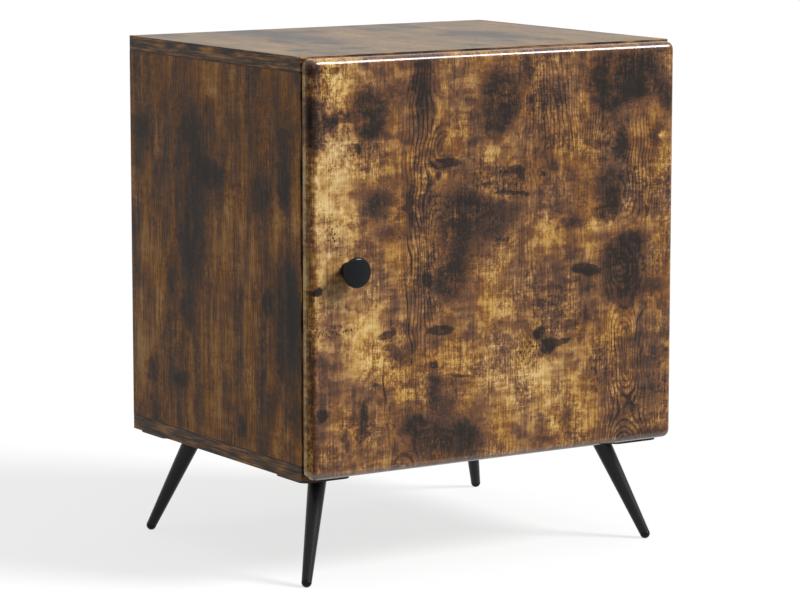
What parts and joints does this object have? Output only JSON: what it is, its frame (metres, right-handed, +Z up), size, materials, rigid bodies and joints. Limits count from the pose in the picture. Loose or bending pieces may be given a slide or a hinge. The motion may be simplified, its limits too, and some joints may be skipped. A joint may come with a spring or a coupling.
{
  "type": "storage side table",
  "caption": "Box-shaped storage side table in rustic brown wood print, with a rounded lay-on door on concealed hinges, a black turned knob and splayed, tapered black legs.",
  "frame": {"origin": "on the floor, under the middle of the bounding box", "axes": "+X to the right seen from the front, +Y to the back, +Z up"},
  "size_m": [0.45, 0.391, 0.535],
  "materials": {
    "printed_board": "rustic brown wood print, satin",
    "edge_band": "dark brown wood print tape, satin",
    "dowel_wood": "plain beech",
    "black_steel": "satin black powder coat",
    "foot_plastic": "glossy black",
    "knob_black": "satin black lacquer",
    "bumper_clear": "soft, milky",
    "black_screw": "black zinc",
    "hinge_steel": "nickel-plated"
  },
  "bodies": {
    "carcass": {"top_panel": "printed_board", "bottom_panel": "printed_board", "left_side_panel": "printed_board", "right_side_panel": "printed_board", "back_panel": "printed_board", "top_edge_bands": "edge_band", "bottom_edge_bands": "edge_band", "side_edge_bands": "edge_band", "corner_dowels": "dowel_wood", "cam_bolts": "hinge_steel", "cam_locks": "hinge_steel", "upper_hinge_arm": "hinge_steel", "lower_hinge_arm": "hinge_steel", "upper_hinge_plate": "hinge_steel", "lower_hinge_plate": "hinge_steel", "hinge_arm_pins": "hinge_steel", "hinge_arm_screws": "hinge_steel", "hinge_plate_screws": "hinge_steel", "leg_screws": "black_screw", "leg_front_left": "black_steel", "leg_plate_front_left": "black_steel", "foot_cap_front_left": "foot_plastic", "leg_front_right": "black_steel", "leg_plate_front_right": "black_steel", "foot_cap_front_right": "foot_plastic", "leg_back_left": "black_steel", "leg_plate_back_left": "black_steel", "foot_cap_back_left": "foot_plastic", "leg_back_right": "black_steel", "leg_plate_back_right": "black_steel", "foot_cap_back_right": "foot_plastic"},
    "outer_links": {"upper_outer_link": "hinge_steel", "lower_outer_link": "hinge_steel"},
    "inner_links": {"upper_inner_link": "hinge_steel", "lower_inner_link": "hinge_steel"},
    "door": {"door_panel": "printed_board", "door_knob": "knob_black", "knob_screw": "hinge_steel", "door_bumpers": "bumper_clear", "upper_hinge_cup": "hinge_steel", "lower_hinge_cup": "hinge_steel", "hinge_cup_pins": "hinge_steel", "hinge_cup_screws": "hinge_steel"}
  },
  "joints": [
    {"name": "outer_link_turn", "type": "hinge", "parent": "carcass", "child": "outer_links", "pos_m": [0.1902, -0.1476, 0.3235], "axis": [0, 0, 1], "range_deg": [-24, 0]},
    {"name": "door_swing", "type": "hinge", "parent": "outer_links", "child": "door", "pos_m": [0.21305, -0.15865, 0.3235], "axis": [0, 0, 1], "range_deg": [0, 119]},
    {"name": "inner_link_turn", "type": "hinge", "parent": "carcass", "child": "inner_links", "pos_m": [0.198, -0.15385, 0.3235], "axis": [0, 0, 1], "range_deg": [-11.5, 0]}
  ],
  "couplings": [
    {"joint": "outer_link_turn", "follows": "door_swing", "ratio": -0.20168},
    {"joint": "inner_link_turn", "follows": "door_swing", "ratio": -0.096638}
  ]
}
